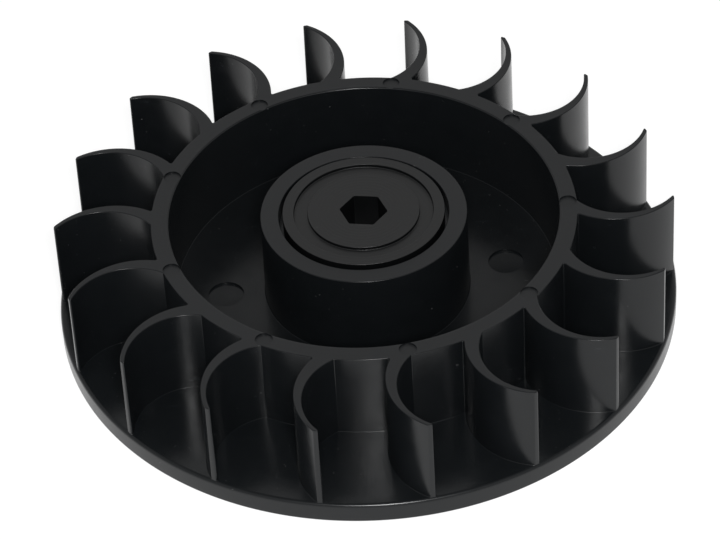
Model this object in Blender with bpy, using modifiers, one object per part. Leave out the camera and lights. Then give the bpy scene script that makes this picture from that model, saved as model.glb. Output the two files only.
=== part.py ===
"""Water turbine wheel with a ball-bearing hub, as an assembly of its real pieces.

The wheel is one plastic moulding: a disc, a ring wall, a hub and cupped vanes. A drive cap
with a hexagonal hole closes the hub's mouth, and a half-inch ball bearing sits in the hub's
underside. The inner race stays on a fixed axle nose while everything else turns about +Z.

Units are metres. The origin is on the spin axis at the disc's underside, +Z towards the vanes.
"""

import math

import bmesh
import bpy
from mathutils import Matrix, Vector

# Wheel moulding
WHEEL_RADIUS = 0.05715
WHEEL_HEIGHT = 0.02163
DISC_THICKNESS = 0.00405
RIM_FILLET = 0.0010
RIM_CHAMFER = 0.0004
RING_OUTER_RADIUS = 0.03891
RING_INNER_RADIUS = 0.03565
HUB_RADIUS = 0.01887
WALL_DRAFT = 0.00018
BASE_FILLET = 0.0007
EDGE_CHAMFER = 0.00015
UNDERSIDE_RELIEF = 0.0012
RELIEF_RIM_WIDTH = 0.0042
BOSS_RADIUS = 0.0215

# Vanes, drawn with the tip on +X
VANE_COUNT = 18
VANE_PITCH = 2 * math.pi / VANE_COUNT
FIRST_VANE_ANGLE = math.radians(-0.48)
VANE_BACK_CENTRE = (0.04616, 0.00808)
VANE_BACK_RADIUS = 0.01351
VANE_FACE_CENTRE = (0.04766, 0.00749)
VANE_FACE_RADIUS = 0.01123
VANE_ROOT_RADIUS = 0.0373
VANE_TIP_RADIUS = 0.05665
VANE_ARC_STEPS = 8

# Marks left by the mould's ejector pins
RING_MARK_RADIUS = 0.00155
RING_MARK_DEPTH = 0.00034
RING_MARK_OFFSET = math.radians(0.3)
FLOOR_MARK_RADIUS = 0.0033
FLOOR_MARK_DEPTH = 0.0005
FLOOR_MARK_PITCH_RADIUS = 0.0263
FLOOR_MARK_ANGLES = (math.radians(8.6), math.radians(181.8))

# Ball bearing, 12.7 x 28.575 x 7.938 mm, shielded
BORE_RADIUS = 0.00635
BEARING_RADIUS = 0.0142875
BEARING_WIDTH = 0.0079375
BALL_COUNT = 9
BALL_RADIUS = 0.0019845
BALL_CLEARANCE = 0.00008
LAND_DEPTH = 0.00052
RACE_CHAMFER = 0.0004
SHIELD_SEAT_Z = 0.0030
SHIELD_GROOVE_WIDTH = 0.00055
SHIELD_GROOVE_RADIUS = 0.0129
SHIELD_LIP_RADIUS = 0.0126
SHIELD_NOTCH_DEPTH = 0.00035
SHIELD_THICKNESS = 0.00025
SHIELD_DISH = 0.00022
SHIELD_GAP = 0.00015

# Cage: two pressed ribbons held together by rivets
CAGE_INNER_RADIUS = 0.00945
CAGE_OUTER_RADIUS = 0.0112
CAGE_THICKNESS = 0.0003
CAGE_FLAT_Z = 0.0002
POCKET_RADIUS = 0.00228
POCKET_STEPS = 8
RIVET_SHANK_RADIUS = 0.00035
RIVET_HOLE_RADIUS = 0.00048
RIVET_HEAD_RADIUS = 0.00075
RIVET_HEAD_HEIGHT = 0.0003
RIVET_CROWN_RADIUS = 0.0005
RIVET_GAP = 0.0001

# Drive cap
CAP_RADIUS = 0.0148
CAP_RISE = 0.0005
CAP_FLANGE_THICKNESS = 0.0029
CAP_SPIGOT_RADIUS = 0.0133
CAP_BAND_OUTER_RADIUS = 0.0128
CAP_BAND_SLOPE = 0.00012
CAP_BAND_INNER_RADIUS = 0.0102
CAP_BAND_DEPTH = 0.0006
CAP_CHAMFER = 0.0003
HEX_ACROSS_FLATS = 0.0077
HEX_CORNER_ANGLE = math.radians(-8.5)
PILOT_RADIUS = 0.0022

# Fits and the bearing's place in the hub
SEAT_GAP = 0.0003
BEARING_RECESS = 0.0010
SHOULDER_THICKNESS = 0.0023
SHOULDER_RADIUS = 0.0124
MOUTH_RADIUS = 0.01555

BODY_STEPS = 72
RIM_ARC_STEPS = 3
GROOVE_ARC_STEPS = 6
BEARING_STEPS = 36
CAP_STEPS = 48
MARK_SIDES = 12
RIVET_SIDES = 8
BALL_SEGMENTS = 12
BALL_RINGS = 8
MERGE_DISTANCE = 0.000001
CUTTER_MARGIN = 0.001
SMOOTH_ANGLE = math.radians(32)

PITCH_RADIUS = (BORE_RADIUS + BEARING_RADIUS) / 2
BEARING_MID_Z = BEARING_RECESS + BEARING_WIDTH / 2
BEARING_TOP_Z = BEARING_RECESS + BEARING_WIDTH
SHOULDER_Z = BEARING_TOP_Z + SEAT_GAP
SPIGOT_SEAT_Z = SHOULDER_Z + SHOULDER_THICKNESS
CAP_TOP_Z = WHEEL_HEIGHT + CAP_RISE
CAP_FLANGE_Z = CAP_TOP_Z - CAP_FLANGE_THICKNESS
MOUTH_FLOOR_Z = CAP_FLANGE_Z - SEAT_GAP


def clear_scene():
    """Remove every object that the scene starts with."""
    for obj in list(bpy.data.objects):
        bpy.data.objects.remove(obj, do_unlink=True)


def new_collection(name):
    collection = bpy.data.collections.new(name)
    bpy.context.scene.collection.children.link(collection)
    return collection


def new_material(name, colour, roughness, metallic):
    material = bpy.data.materials.new(name)
    material.use_nodes = True
    shader = material.node_tree.nodes["Principled BSDF"]
    shader.inputs["Base Color"].default_value = (*colour, 1.0)
    shader.inputs["Roughness"].default_value = roughness
    shader.inputs["Metallic"].default_value = metallic
    return material


def add_object(name, mesh, collection):
    obj = bpy.data.objects.new(name, mesh)
    collection.objects.link(obj)
    return obj


def as_guide(obj):
    """Show an object as a wire guide, which is not a piece of the assembly."""
    obj.display_type = "WIRE"
    obj.hide_render = True
    return obj


def evaluated_mesh(obj):
    """The object's shape with its modifiers, welded into one mesh."""
    bpy.context.view_layer.update()
    graph = bpy.context.evaluated_depsgraph_get()
    mesh = bpy.data.meshes.new_from_object(obj.evaluated_get(graph))
    bm = bmesh.new()
    bm.from_mesh(mesh)
    bmesh.ops.remove_doubles(bm, verts=bm.verts, dist=MERGE_DISTANCE)
    bm.to_mesh(mesh)
    bm.free()
    return mesh


def finish_piece(obj, material):
    """Apply the modifiers, shade round faces smooth and give the piece its material."""
    mesh = evaluated_mesh(obj)
    obj.modifiers.clear()
    obj.data = mesh
    mesh.name = obj.name
    mesh.shade_smooth()
    mesh.set_sharp_from_angle(angle=SMOOTH_ANGLE)
    mesh.materials.clear()
    mesh.materials.append(material)
    return obj


def arc(centre_r, centre_z, radius, start_deg, end_deg, steps):
    """Points of an arc in the profile plane, both ends included."""
    points = []
    for i in range(steps + 1):
        angle = math.radians(start_deg + (end_deg - start_deg) * i / steps)
        points.append((centre_r + radius * math.cos(angle), centre_z + radius * math.sin(angle)))
    return points


def turned(name, profile, steps, collection, closed=True):
    """A profile of (radius, height) points, turned about Z with a Screw modifier."""
    mesh = bpy.data.meshes.new(name)
    vertices = [(r, 0.0, z) for r, z in profile]
    edges = [(i, i + 1) for i in range(len(profile) - 1)]
    if closed:
        edges.append((len(profile) - 1, 0))
    mesh.from_pydata(vertices, edges, [])
    obj = add_object(name, mesh, collection)
    screw = obj.modifiers.new("turn", "SCREW")
    screw.axis = "Z"
    screw.angle = 2 * math.pi
    screw.steps = steps
    screw.render_steps = steps
    screw.use_merge_vertices = True
    screw.merge_threshold = MERGE_DISTANCE
    return obj


def boolean(obj, other, operation):
    modifier = obj.modifiers.new(operation.lower(), "BOOLEAN")
    modifier.operation = operation
    modifier.object = other
    modifier.solver = "EXACT"


def cylinders(name, places, radius, low_z, high_z, sides, collection):
    """One guide mesh of equal upright cylinders at the given (x, y) places."""
    bm = bmesh.new()
    for x, y in places:
        placed = Matrix.Translation(Vector((x, y, (low_z + high_z) / 2)))
        bmesh.ops.create_cone(
            bm,
            cap_ends=True,
            segments=sides,
            radius1=radius,
            radius2=radius,
            depth=high_z - low_z,
            matrix=placed,
        )
    mesh = bpy.data.meshes.new(name)
    bm.to_mesh(mesh)
    bm.free()
    return as_guide(add_object(name, mesh, collection))


def polar(radius, angle):
    return radius * math.cos(angle), radius * math.sin(angle)


def angle_on_circle(centre, radius, distance):
    """Angle on a circle, past its lowest point side, where it is at a distance from the axis."""
    span = math.hypot(*centre)
    towards_axis = math.atan2(centre[1], centre[0]) + math.pi
    cosine = (radius**2 + span**2 - distance**2) / (2 * radius * span)
    return towards_axis + math.acos(cosine)


def circle_points(centre, radius, start, end, steps):
    points = []
    for i in range(steps + 1):
        angle = start + (end - start) * i / steps
        points.append((centre[0] + radius * math.cos(angle), centre[1] + radius * math.sin(angle)))
    return points


def vane_outline():
    """Plan of one vane: rounded back, hollow face, thick root and thin tip."""
    back = circle_points(
        VANE_BACK_CENTRE,
        VANE_BACK_RADIUS,
        angle_on_circle(VANE_BACK_CENTRE, VANE_BACK_RADIUS, VANE_ROOT_RADIUS),
        angle_on_circle(VANE_BACK_CENTRE, VANE_BACK_RADIUS, VANE_TIP_RADIUS),
        VANE_ARC_STEPS,
    )
    face = circle_points(
        VANE_FACE_CENTRE,
        VANE_FACE_RADIUS,
        angle_on_circle(VANE_FACE_CENTRE, VANE_FACE_RADIUS, VANE_TIP_RADIUS),
        angle_on_circle(VANE_FACE_CENTRE, VANE_FACE_RADIUS, VANE_ROOT_RADIUS),
        VANE_ARC_STEPS,
    )
    return back + face


def extruded(name, outline, low_z, high_z, collection):
    """A closed plan outline, filled and extruded between two heights."""
    curve = bpy.data.curves.new(name, "CURVE")
    curve.dimensions = "2D"
    curve.fill_mode = "BOTH"
    curve.extrude = (high_z - low_z) / 2
    spline = curve.splines.new("POLY")
    spline.points.add(len(outline) - 1)
    for point, (x, y) in zip(spline.points, outline):
        point.co = (x, y, 0.0, 1.0)
    spline.use_cyclic_u = True
    obj = add_object(name, curve, collection)
    obj.location.z = (low_z + high_z) / 2
    return obj


def vane_crown(collection):
    """All the vanes as one guide mesh, set in the disc and in the ring wall."""
    blank = extruded("vane_blank", vane_outline(), DISC_THICKNESS / 2, WHEEL_HEIGHT, collection)
    mesh = evaluated_mesh(blank)
    mesh.transform(blank.matrix_world)
    bpy.data.objects.remove(blank, do_unlink=True)
    bm = bmesh.new()
    for i in range(VANE_COUNT):
        done = len(bm.verts)
        bm.from_mesh(mesh)
        bm.verts.ensure_lookup_table()
        turn = Matrix.Rotation(FIRST_VANE_ANGLE + i * VANE_PITCH, 3, "Z")
        bmesh.ops.rotate(bm, verts=bm.verts[done:], cent=(0, 0, 0), matrix=turn)
    crown = bpy.data.meshes.new("vane_crown")
    bm.to_mesh(crown)
    bm.free()
    return as_guide(add_object("vane_crown", crown, collection))


def wheel_profile():
    """Section of the moulding without its vanes, outer side first, going down."""
    floor = DISC_THICKNESS
    top = WHEEL_HEIGHT
    rim_arc = arc(WHEEL_RADIUS - RIM_FILLET, floor - RIM_FILLET, RIM_FILLET, 90, 0, RIM_ARC_STEPS)
    relief_radius = WHEEL_RADIUS - RELIEF_RIM_WIDTH
    seat = BEARING_RADIUS + SEAT_GAP
    spigot_seat = CAP_SPIGOT_RADIUS + SEAT_GAP
    return (
        rim_arc
        + [(WHEEL_RADIUS, RIM_CHAMFER), (WHEEL_RADIUS - RIM_CHAMFER, 0.0)]
        + [(relief_radius, 0.0), (relief_radius, UNDERSIDE_RELIEF)]
        + [(BOSS_RADIUS, UNDERSIDE_RELIEF), (BOSS_RADIUS, 0.0)]
        + [(seat + RIM_CHAMFER, 0.0), (seat, RIM_CHAMFER)]
        + [(seat, SHOULDER_Z), (SHOULDER_RADIUS, SHOULDER_Z)]
        + [(SHOULDER_RADIUS, SPIGOT_SEAT_Z), (spigot_seat, SPIGOT_SEAT_Z)]
        + [(spigot_seat, MOUTH_FLOOR_Z), (MOUTH_RADIUS, MOUTH_FLOOR_Z)]
        + [(MOUTH_RADIUS, top - EDGE_CHAMFER), (MOUTH_RADIUS + EDGE_CHAMFER, top)]
        + [(HUB_RADIUS - EDGE_CHAMFER, top), (HUB_RADIUS, top - EDGE_CHAMFER)]
        + [(HUB_RADIUS + WALL_DRAFT, floor + BASE_FILLET), (HUB_RADIUS + BASE_FILLET, floor)]
        + [(RING_INNER_RADIUS - BASE_FILLET, floor)]
        + [(RING_INNER_RADIUS - WALL_DRAFT, floor + BASE_FILLET)]
        + [(RING_INNER_RADIUS, top - EDGE_CHAMFER), (RING_INNER_RADIUS + EDGE_CHAMFER, top)]
        + [(RING_OUTER_RADIUS, top), (RING_OUTER_RADIUS + WALL_DRAFT, floor)]
    )


def ejector_marks(collection):
    """Shallow round marks on the ring's top at every second vane, and two on the floor."""
    middle = (RING_INNER_RADIUS + RING_OUTER_RADIUS) / 2
    on_ring = []
    for i in range(0, VANE_COUNT, 2):
        angle = FIRST_VANE_ANGLE + i * VANE_PITCH + RING_MARK_OFFSET
        on_ring.append(polar(middle, angle))
    on_floor = [polar(FLOOR_MARK_PITCH_RADIUS, angle) for angle in FLOOR_MARK_ANGLES]
    ring_low = WHEEL_HEIGHT - RING_MARK_DEPTH
    ring_high = WHEEL_HEIGHT + CUTTER_MARGIN
    floor_low = DISC_THICKNESS - FLOOR_MARK_DEPTH
    floor_high = DISC_THICKNESS + CUTTER_MARGIN
    return (
        cylinders("ring_marks", on_ring, RING_MARK_RADIUS, ring_low, ring_high, MARK_SIDES, collection),
        cylinders("floor_marks", on_floor, FLOOR_MARK_RADIUS, floor_low, floor_high, MARK_SIDES, collection),
    )


def make_turbine_wheel(parts, guides, material):
    wheel = turned("turbine_wheel", wheel_profile(), BODY_STEPS, parts)
    boolean(wheel, vane_crown(guides), "UNION")
    for marks in ejector_marks(guides):
        boolean(wheel, marks, "DIFFERENCE")
    return finish_piece(wheel, material)


def hexagon_cutter(low_z, high_z, collection):
    """Upright hexagonal prism. The cone tool starts its corners on +Y, a quarter turn from +X."""
    turn = Matrix.Rotation(HEX_CORNER_ANGLE - math.pi / 2, 4, "Z")
    corner_radius = HEX_ACROSS_FLATS / math.sqrt(3)
    bm = bmesh.new()
    bmesh.ops.create_cone(
        bm,
        cap_ends=True,
        segments=6,
        radius1=corner_radius,
        radius2=corner_radius,
        depth=high_z - low_z,
        matrix=Matrix.Translation((0, 0, (low_z + high_z) / 2)) @ turn,
    )
    mesh = bpy.data.meshes.new("hex_hole")
    bm.to_mesh(mesh)
    bm.free()
    return as_guide(add_object("hex_hole", mesh, collection))


def make_drive_cap(parts, guides, material):
    """Flanged plug with a shallow band sunk in its face, pierced by the hexagonal hole."""
    top = CAP_TOP_Z
    bottom = SPIGOT_SEAT_Z + SEAT_GAP
    band_floor = top - CAP_BAND_DEPTH
    profile = [
        (CAP_RADIUS - CAP_CHAMFER, top),
        (CAP_RADIUS, top - CAP_CHAMFER),
        (CAP_RADIUS, CAP_FLANGE_Z),
        (CAP_SPIGOT_RADIUS, CAP_FLANGE_Z),
        (CAP_SPIGOT_RADIUS, bottom + CAP_CHAMFER),
        (CAP_SPIGOT_RADIUS - CAP_CHAMFER, bottom),
        (PILOT_RADIUS, bottom),
        (PILOT_RADIUS, top),
        (CAP_BAND_INNER_RADIUS, top),
        (CAP_BAND_INNER_RADIUS, band_floor),
        (CAP_BAND_OUTER_RADIUS - CAP_BAND_SLOPE, band_floor),
        (CAP_BAND_OUTER_RADIUS, top),
    ]
    cap = turned("drive_cap", profile, CAP_STEPS, parts)
    hex_hole = hexagon_cutter(bottom - CUTTER_MARGIN, top + CUTTER_MARGIN, guides)
    boolean(cap, hex_hole, "DIFFERENCE")
    return finish_piece(cap, material)


def groove(centre_deg, land_radius):
    """Raceway groove of one race, an arc round the ball circle from land to land."""
    radius = BALL_RADIUS + BALL_CLEARANCE
    half = math.degrees(math.acos(abs(PITCH_RADIUS - land_radius) / radius))
    return arc(PITCH_RADIUS, 0.0, radius, centre_deg - half, centre_deg + half, GROOVE_ARC_STEPS)


def make_outer_race(parts, material):
    """Outer ring: raceway groove in the middle, a shield groove near each face."""
    half = BEARING_WIDTH / 2
    land = PITCH_RADIUS + BALL_RADIUS - LAND_DEPTH
    shield_end = SHIELD_SEAT_Z + SHIELD_GROOVE_WIDTH
    lower_bore = [
        (SHIELD_LIP_RADIUS, -half),
        (SHIELD_LIP_RADIUS, -shield_end),
        (SHIELD_GROOVE_RADIUS, -shield_end),
        (SHIELD_GROOVE_RADIUS, -SHIELD_SEAT_Z),
        (land, -SHIELD_SEAT_Z),
    ]
    upper_bore = [(r, -z) for r, z in reversed(lower_bore)]
    outside = [
        (BEARING_RADIUS - RACE_CHAMFER, half),
        (BEARING_RADIUS, half - RACE_CHAMFER),
        (BEARING_RADIUS, RACE_CHAMFER - half),
        (BEARING_RADIUS - RACE_CHAMFER, -half),
    ]
    profile = outside + lower_bore + groove(0, land) + upper_bore
    race = turned("bearing_outer_race", profile, BEARING_STEPS, parts)
    race.location.z = BEARING_MID_Z
    return finish_piece(race, material)


def make_inner_race(parts, material):
    """Inner ring: raceway groove in the middle, a notch for each shield's lip."""
    half = BEARING_WIDTH / 2
    land = PITCH_RADIUS - BALL_RADIUS + LAND_DEPTH
    notch = land - SHIELD_NOTCH_DEPTH
    upper_side = [
        (notch - RACE_CHAMFER / 2, half),
        (notch, half - RACE_CHAMFER / 2),
        (notch, SHIELD_SEAT_Z),
        (land, SHIELD_SEAT_Z),
    ]
    lower_side = [(r, -z) for r, z in reversed(upper_side)]
    bore = [
        (BORE_RADIUS + RACE_CHAMFER, -half),
        (BORE_RADIUS, RACE_CHAMFER - half),
        (BORE_RADIUS, half - RACE_CHAMFER),
        (BORE_RADIUS + RACE_CHAMFER, half),
    ]
    profile = upper_side + groove(180, land) + lower_side + bore
    race = turned("bearing_inner_race", profile, BEARING_STEPS, parts)
    race.location.z = BEARING_MID_Z
    return finish_piece(race, material)


def make_shield(name, side, parts, material):
    """Pressed ring that snaps in the outer race's groove and stays clear of the inner race."""
    outer = SHIELD_GROOVE_RADIUS - SHIELD_GAP
    inner = PITCH_RADIUS - BALL_RADIUS + LAND_DEPTH - SHIELD_NOTCH_DEPTH + 2 * SHIELD_GAP
    low = SHIELD_SEAT_Z + SHIELD_GAP
    raised = low + SHIELD_DISH
    bend_outer = SHIELD_LIP_RADIUS - 2 * SHIELD_GAP
    bend_inner = bend_outer - SHIELD_DISH
    inside = [(outer, low), (bend_outer, low), (bend_inner, raised), (inner, raised)]
    outside = [(r, z + SHIELD_THICKNESS) for r, z in reversed(inside)]
    profile = inside + outside
    if side < 0:
        profile = [(r, -z) for r, z in reversed(profile)]
    shield = turned(name, profile, BEARING_STEPS, parts)
    shield.location.z = BEARING_MID_Z
    return finish_piece(shield, material)


def ball_angle(index):
    return index * 2 * math.pi / BALL_COUNT


def make_ball(index, parts, material):
    name = f"bearing_ball_{index + 1}"
    bm = bmesh.new()
    bmesh.ops.create_uvsphere(bm, u_segments=BALL_SEGMENTS, v_segments=BALL_RINGS, radius=BALL_RADIUS)
    mesh = bpy.data.meshes.new(name)
    bm.to_mesh(mesh)
    bm.free()
    mesh.shade_smooth()
    mesh.materials.append(material)
    ball = add_object(name, mesh, parts)
    ball.location = (*polar(PITCH_RADIUS, ball_angle(index)), BEARING_MID_Z)
    return ball


def ribbon_stations():
    """Points along one ball pitch of the ribbon, as (offset across the ball, height)."""
    stations = []
    for i in range(POCKET_STEPS + 1):
        angle = math.pi * (1 - i / POCKET_STEPS)
        height = max(POCKET_RADIUS * math.sin(angle), CAGE_FLAT_Z)
        stations.append((POCKET_RADIUS * math.cos(angle), height))
    return stations


def make_cage_half(name, side, parts, guides, material):
    """Pressed ribbon with a half-round pocket over each ball and a rivet hole between them."""
    bm = bmesh.new()
    rows = []
    for ball in range(BALL_COUNT):
        for offset, height in ribbon_stations():
            row = []
            for radius in (CAGE_INNER_RADIUS, CAGE_OUTER_RADIUS):
                angle = ball_angle(ball) + math.asin(offset / radius)
                row.append(bm.verts.new((*polar(radius, angle), side * height)))
            rows.append(row)
    for i, row in enumerate(rows):
        following = rows[(i + 1) % len(rows)]
        corners = [row[0], row[1], following[1], following[0]]
        if side < 0:
            corners.reverse()
        bm.faces.new(corners)
    mesh = bpy.data.meshes.new(name)
    bm.to_mesh(mesh)
    bm.free()
    cage = add_object(name, mesh, parts)
    shell = cage.modifiers.new("thickness", "SOLIDIFY")
    shell.thickness = CAGE_THICKNESS
    shell.offset = 0.0
    places = [polar(PITCH_RADIUS, ball_angle(i + 0.5)) for i in range(BALL_COUNT)]
    reach = POCKET_RADIUS + CUTTER_MARGIN
    drill = cylinders(f"{name}_holes", places, RIVET_HOLE_RADIUS, -reach, reach, RIVET_SIDES, guides)
    boolean(cage, drill, "DIFFERENCE")
    cage.location.z = BEARING_MID_Z
    drill.location.z = BEARING_MID_Z
    return finish_piece(cage, material)


def make_cage_rivet(index, parts, material):
    under_head = CAGE_FLAT_Z + CAGE_THICKNESS / 2 + RIVET_GAP
    top = under_head + RIVET_HEAD_HEIGHT
    upper = [(0.0, top), (RIVET_CROWN_RADIUS, top), (RIVET_HEAD_RADIUS, under_head)]
    upper.append((RIVET_SHANK_RADIUS, under_head))
    profile = upper + [(r, -z) for r, z in reversed(upper)]
    rivet = turned(f"cage_rivet_{index + 1}", profile, RIVET_SIDES, parts, closed=False)
    rivet.location = (*polar(PITCH_RADIUS, ball_angle(index + 0.5)), BEARING_MID_Z)
    return finish_piece(rivet, material)


def add_axis(name, pieces):
    """Empty on the spin axis that carries the pieces which turn together."""
    axis = bpy.data.objects.new(name, None)
    bpy.context.scene.collection.objects.link(axis)
    for piece in pieces:
        piece.parent = axis
    return axis


def main():
    clear_scene()
    parts = new_collection("turbine_wheel_assembly")
    guides = new_collection("cutters_and_guides")
    black_plastic = new_material("black_plastic", (0.012, 0.013, 0.014), 0.25, 0.0)
    cap_plastic = new_material("cap_plastic", (0.014, 0.014, 0.015), 0.35, 0.0)
    race_steel = new_material("race_steel", (0.55, 0.56, 0.58), 0.25, 1.0)
    ball_steel = new_material("ball_steel", (0.75, 0.76, 0.78), 0.08, 1.0)
    cage_steel = new_material("cage_steel", (0.50, 0.48, 0.44), 0.40, 1.0)
    shield_steel = new_material("shield_steel", (0.62, 0.62, 0.63), 0.35, 1.0)

    turning = [make_turbine_wheel(parts, guides, black_plastic)]
    turning.append(make_drive_cap(parts, guides, cap_plastic))
    turning.append(make_outer_race(parts, race_steel))
    turning.append(make_shield("bearing_shield_upper", 1, parts, shield_steel))
    turning.append(make_shield("bearing_shield_lower", -1, parts, shield_steel))
    add_axis("wheel_spin_axis", turning)

    make_inner_race(parts, race_steel)

    orbiting = [make_cage_half("cage_half_upper", 1, parts, guides, cage_steel)]
    orbiting.append(make_cage_half("cage_half_lower", -1, parts, guides, cage_steel))
    for index in range(BALL_COUNT):
        orbiting.append(make_ball(index, parts, ball_steel))
        orbiting.append(make_cage_rivet(index, parts, cage_steel))
    add_axis("cage_spin_axis", orbiting)


main()
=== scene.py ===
"""Looks of the turbine wheel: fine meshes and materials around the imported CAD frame.

Every piece is rebuilt at its CAD place with rounded edges, fillets and small moulding marks,
rides on its own CAD body and stands for its CAD node. Units are metres, +Z is the spin axis.
"""

import math
from typing import NamedTuple

import bmesh
import bpy
from mathutils import Matrix, Vector


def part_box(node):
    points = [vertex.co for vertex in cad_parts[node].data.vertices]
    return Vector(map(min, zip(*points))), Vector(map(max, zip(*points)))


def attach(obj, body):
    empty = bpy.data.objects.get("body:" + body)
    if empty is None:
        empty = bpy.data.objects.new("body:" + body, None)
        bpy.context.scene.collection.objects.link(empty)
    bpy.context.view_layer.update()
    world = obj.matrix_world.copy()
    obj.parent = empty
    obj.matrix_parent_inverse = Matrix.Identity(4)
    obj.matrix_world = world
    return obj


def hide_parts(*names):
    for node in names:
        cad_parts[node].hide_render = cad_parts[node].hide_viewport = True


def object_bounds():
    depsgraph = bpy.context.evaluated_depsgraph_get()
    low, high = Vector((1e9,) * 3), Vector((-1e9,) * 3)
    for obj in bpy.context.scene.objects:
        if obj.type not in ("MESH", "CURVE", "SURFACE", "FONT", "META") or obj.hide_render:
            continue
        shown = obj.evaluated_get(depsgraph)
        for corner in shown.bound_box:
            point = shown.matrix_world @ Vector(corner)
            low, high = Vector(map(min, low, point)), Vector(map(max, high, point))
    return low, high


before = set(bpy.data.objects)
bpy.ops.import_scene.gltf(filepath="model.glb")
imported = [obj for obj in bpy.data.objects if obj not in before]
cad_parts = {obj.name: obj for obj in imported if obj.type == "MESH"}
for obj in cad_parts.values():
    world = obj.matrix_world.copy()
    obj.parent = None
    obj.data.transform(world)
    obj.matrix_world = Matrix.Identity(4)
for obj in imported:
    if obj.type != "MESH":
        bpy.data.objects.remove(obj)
cad_low, cad_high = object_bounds()

# Sizes read from the frame
_, wheel_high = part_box("turbine_wheel")
cap_low, cap_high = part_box("drive_cap")
race_low, race_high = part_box("bearing_outer_race")
ball_low, ball_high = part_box("bearing_ball_1")

WHEEL_RADIUS = wheel_high.x
WHEEL_TOP = wheel_high.z
CAP_RADIUS = cap_high.x
CAP_TOP = cap_high.z
CAP_BOTTOM = cap_low.z
BEARING_RADIUS = race_high.x
BEARING_MID = (race_low.z + race_high.z) / 2
BEARING_HALF_WIDTH = (race_high.z - race_low.z) / 2
BALL_RADIUS = (ball_high.z - ball_low.z) / 2
PITCH_RADIUS = (ball_low.x + ball_high.x) / 2

# Wheel moulding
DISC_TOP = 0.00405
RIM_FILLET = 0.0007
RING_OUTER = 0.03891
RING_INNER = 0.03565
HUB_RADIUS = 0.01887
WALL_DRAFT = 0.00018
BASE_FILLET = 0.00012
EDGE_ROUND = 0.00014
RING_EDGE_ROUND = 0.00028
RING_CORE_TOP = RING_INNER + 0.0011
RING_CORE_FOOT = RING_INNER + 0.0013
RIM_FOOT_ROUND = 0.0004
RELIEF_EDGE_ROUND = 0.0002
RELIEF_CORNER_ROUND = 0.0004
SEAT_LEAD_ROUND = 0.0004
STEP_CORNER_ROUND = 0.0001
RELIEF_DEPTH = 0.0012
RELIEF_RADIUS = 0.05295
BOSS_RADIUS = 0.0215
SEAT_RADIUS = 0.0145875
SHOULDER_Z = 0.0092375
SHOULDER_RADIUS = 0.0124
SPIGOT_SEAT_Z = 0.0115375
SPIGOT_SEAT_RADIUS = 0.0136
MOUTH_FLOOR_Z = 0.01893
MOUTH_RADIUS = 0.01555

# Vanes, drawn with the tip on +X
VANE_COUNT = 18
VANE_PITCH = 2 * math.pi / VANE_COUNT
FIRST_VANE_ANGLE = math.radians(-0.48)
VANE_BACK_CENTRE = (0.04616, 0.00808)
VANE_BACK_RADIUS = 0.01351
VANE_FACE_CENTRE = (0.04766, 0.00749)
VANE_FACE_RADIUS = 0.01123
VANE_TIP_RADIUS = 0.05665
TIP_CORNER = 0.00022
VANE_DRAFT = 0.00014
VANE_FILLET = 0.00012
BACK_ROOT_FILLET = 0.0003
FACE_ROOT_FILLET = 0.0003
TIP_STEPS = 4
ROOT_STEPS = 6
FOOT_STEPS = 4
EDGE_STEPS = 3
FOOT_LIMIT = 0.05675
OUTLINE_SPACING = 0.0004
ROOT_IN_DISC = 0.0012
CROWN_BORE_RADIUS = 0.03625

# Marks left by the mould
RING_MARK_RADIUS = 0.00158
RING_MARK_DEPTH = 0.00034
RING_MARK_OFFSET = math.radians(0.3)
RING_MARK_SIDES = 40
FLOOR_MARK_PITCH_RADIUS = 0.0263
FLOOR_MARK_RADIUS = 0.0033
FLOOR_MARK_DEPTH = 0.0005
FLOOR_MARK_STEPS = 72
FLOOR_MARK_CORNER = 0.00004
FLOOR_MARK_ANGLES = (math.radians(8.6), math.radians(181.8))

# Drive cap
CAP_FLANGE_Z = 0.01923
CAP_SPIGOT_RADIUS = 0.0133
CAP_BAND_OUTER = 0.0128
CAP_BAND_SLOPE = 0.00012
CAP_BAND_INNER = 0.0102
CAP_BAND_DEPTH = 0.0006
CAP_ROUND = 0.00012
CAP_CORNER_ROUND = 0.0001
CAP_FOOT_ROUND = 0.0003
CAP_MIDDLE_SLOPE = 0.00008
CAP_MIDDLE_FILLET = 0.00008
HEX_SIDES = 6
HEX_ACROSS_FLATS = 0.0077
HEX_CORNER_ANGLE = math.radians(-8.5)
HEX_TURN = HEX_CORNER_ANGLE - math.pi / 2
HEX_LEAD_IN = 0.00008
HEX_LEAD_START = 0.00012
HEX_EDGE_BEVEL = 0.00025
HEX_EDGE_SEGMENTS = 3
UPRIGHT_RISE = 0.001

# Bearing, heights measured from its middle
BORE_RADIUS = 0.00635
BALL_COUNT = 9
BALL_SEGMENTS = 40
BALL_RINGS = 24
BALL_FIT = 0.999
RACE_ROUND = 0.0004
RACE_LIP_ROUND = 0.0001
RACE_NOTCH_ROUND = 0.0002
LAND_ROUND = 0.00005
GROOVE_STEPS = 12
LAND_DEPTH = 0.00052
GROOVE_CLEARANCE = 0.00008
SHIELD_SEAT = 0.0030
SHIELD_GROOVE_END = 0.00355
SHIELD_GROOVE_RADIUS = 0.0129
SHIELD_LIP_RADIUS = 0.0126
SHIELD_NOTCH_RADIUS = 0.0085
SHIELD_OUTER = 0.01275
SHIELD_INNER = 0.0088
SHIELD_LOW = 0.00315
SHIELD_THICKNESS = 0.00025
SHIELD_DISH = 0.00022
SHIELD_BEND_RADIUS = 0.0123
SHIELD_ROUND = 0.00008
CAGE_INNER = 0.00945
CAGE_OUTER = 0.0112
CAGE_THICKNESS = 0.0003
CAGE_FLAT = 0.0002
CAGE_FIT = 0.98
POCKET_STEPS = 24
POCKET_RADIUS = 0.00228
RIVET_SHANK = 0.00035
RIVET_HOLE = 0.00048
RIVET_HOLE_REACH = 0.003
RIVET_STEPS = 24
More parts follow.
